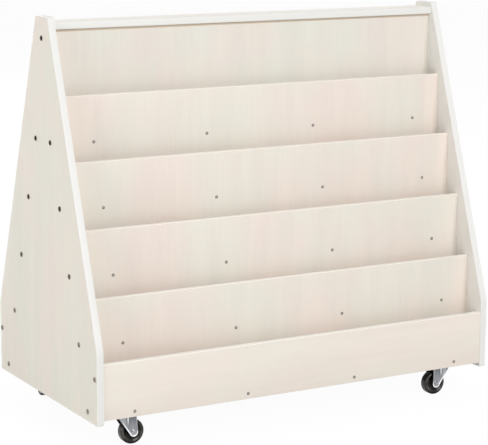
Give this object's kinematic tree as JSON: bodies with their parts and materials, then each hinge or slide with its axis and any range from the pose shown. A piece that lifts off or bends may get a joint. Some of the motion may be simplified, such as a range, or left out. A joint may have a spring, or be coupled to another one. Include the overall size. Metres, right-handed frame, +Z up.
{
  "type": "book cart",
  "caption": "Double-sided rolling book cart in birch plywood: sloped side panels, stepped display pockets on both faces and swivel casters.",
  "frame": {"origin": "on the floor under the middle of the cart, at the lowest point of the wheels", "axes": "+X along the cart's length, from the side panel at the left to the one at the right as the front is seen; +Y from the front to the rear; +Z up"},
  "size_m": [0.915, 0.476, 0.823],
  "materials": {
    "panel_plywood": "clear lacquered birch veneer with eased, pale edges",
    "board_plywood": "clear lacquered birch veneer",
    "dowel_wood": "plain hardwood",
    "dark_screws": "dark, with a recessed drive",
    "steel_screws": "bright zinc",
    "zinc_steel": "bright zinc plated pressing",
    "black_wheel": "glossy black"
  },
  "bodies": {
    "cart": {"side_panel_left": "panel_plywood", "side_panel_right": "panel_plywood", "top_rail": "board_plywood", "top_cleat": "board_plywood", "base_board": "board_plywood", "top_panel_front": "board_plywood", "bottom_panel_front": "board_plywood", "display_board_front_1": "board_plywood", "display_board_front_2": "board_plywood", "display_board_front_3": "board_plywood", "display_board_front_4": "board_plywood", "shelf_front_1": "board_plywood", "shelf_front_2": "board_plywood", "shelf_front_3": "board_plywood", "shelf_front_4": "board_plywood", "top_panel_rear": "board_plywood", "bottom_panel_rear": "board_plywood", "display_board_rear_1": "board_plywood", "display_board_rear_2": "board_plywood", "display_board_rear_3": "board_plywood", "display_board_rear_4": "board_plywood", "shelf_rear_1": "board_plywood", "shelf_rear_2": "board_plywood", "shelf_rear_3": "board_plywood", "shelf_rear_4": "board_plywood", "rail_dowels": "dowel_wood", "side_panel_screws": "dark_screws", "board_screws": "steel_screws", "caster_screws": "steel_screws", "kingpins": "zinc_steel", "caster_plate_front_left": "zinc_steel", "caster_plate_front_right": "zinc_steel", "caster_plate_rear_left": "zinc_steel", "caster_plate_rear_right": "zinc_steel"},
    "swivel_front_left": {"fork_front_left": "zinc_steel", "axle_sleeve_front_left": "zinc_steel", "axle_bolt_front_left": "zinc_steel", "axle_nut_front_left": "zinc_steel"},
    "swivel_front_right": {"fork_front_right": "zinc_steel", "axle_sleeve_front_right": "zinc_steel", "axle_bolt_front_right": "zinc_steel", "axle_nut_front_right": "zinc_steel"},
    "swivel_rear_left": {"fork_rear_left": "zinc_steel", "axle_sleeve_rear_left": "zinc_steel", "axle_bolt_rear_left": "zinc_steel", "axle_nut_rear_left": "zinc_steel"},
    "swivel_rear_right": {"fork_rear_right": "zinc_steel", "axle_sleeve_rear_right": "zinc_steel", "axle_bolt_rear_right": "zinc_steel", "axle_nut_rear_right": "zinc_steel"},
    "rolling_front_left": {"wheel_front_left": "black_wheel"},
    "rolling_front_right": {"wheel_front_right": "black_wheel"},
    "rolling_rear_left": {"wheel_rear_left": "black_wheel"},
    "rolling_rear_right": {"wheel_rear_right": "black_wheel"}
  },
  "joints": [
    {"name": "front_left_swivel", "type": "hinge", "parent": "cart", "child": "swivel_front_left", "pos_m": [-0.38, -0.1835, 0.069], "axis": [0, 0, 1], "continuous": true},
    {"name": "front_right_swivel", "type": "hinge", "parent": "cart", "child": "swivel_front_right", "pos_m": [0.38, -0.1835, 0.069], "axis": [0, 0, 1], "continuous": true},
    {"name": "rear_left_swivel", "type": "hinge", "parent": "cart", "child": "swivel_rear_left", "pos_m": [-0.38, 0.1835, 0.069], "axis": [0, 0, 1], "continuous": true},
    {"name": "rear_right_swivel", "type": "hinge", "parent": "cart", "child": "swivel_rear_right", "pos_m": [0.38, 0.1835, 0.069], "axis": [0, 0, 1], "continuous": true},
    {"name": "front_left_wheel_spin", "type": "hinge", "parent": "swivel_front_left", "child": "rolling_front_left", "pos_m": [-0.36, -0.1835, 0.025], "axis": [0, 1, 0], "continuous": true},
    {"name": "front_right_wheel_spin", "type": "hinge", "parent": "swivel_front_right", "child": "rolling_front_right", "pos_m": [0.36, -0.1835, 0.025], "axis": [0, 1, 0], "continuous": true},
    {"name": "rear_left_wheel_spin", "type": "hinge", "parent": "swivel_rear_left", "child": "rolling_rear_left", "pos_m": [-0.37653, 0.2032, 0.025], "axis": [-0.9848, 0.1736, 0], "continuous": true},
    {"name": "rear_right_wheel_spin", "type": "hinge", "parent": "swivel_rear_right", "child": "rolling_rear_right", "pos_m": [0.36, 0.1835, 0.025], "axis": [0, 1, 0], "continuous": true}
  ]
}
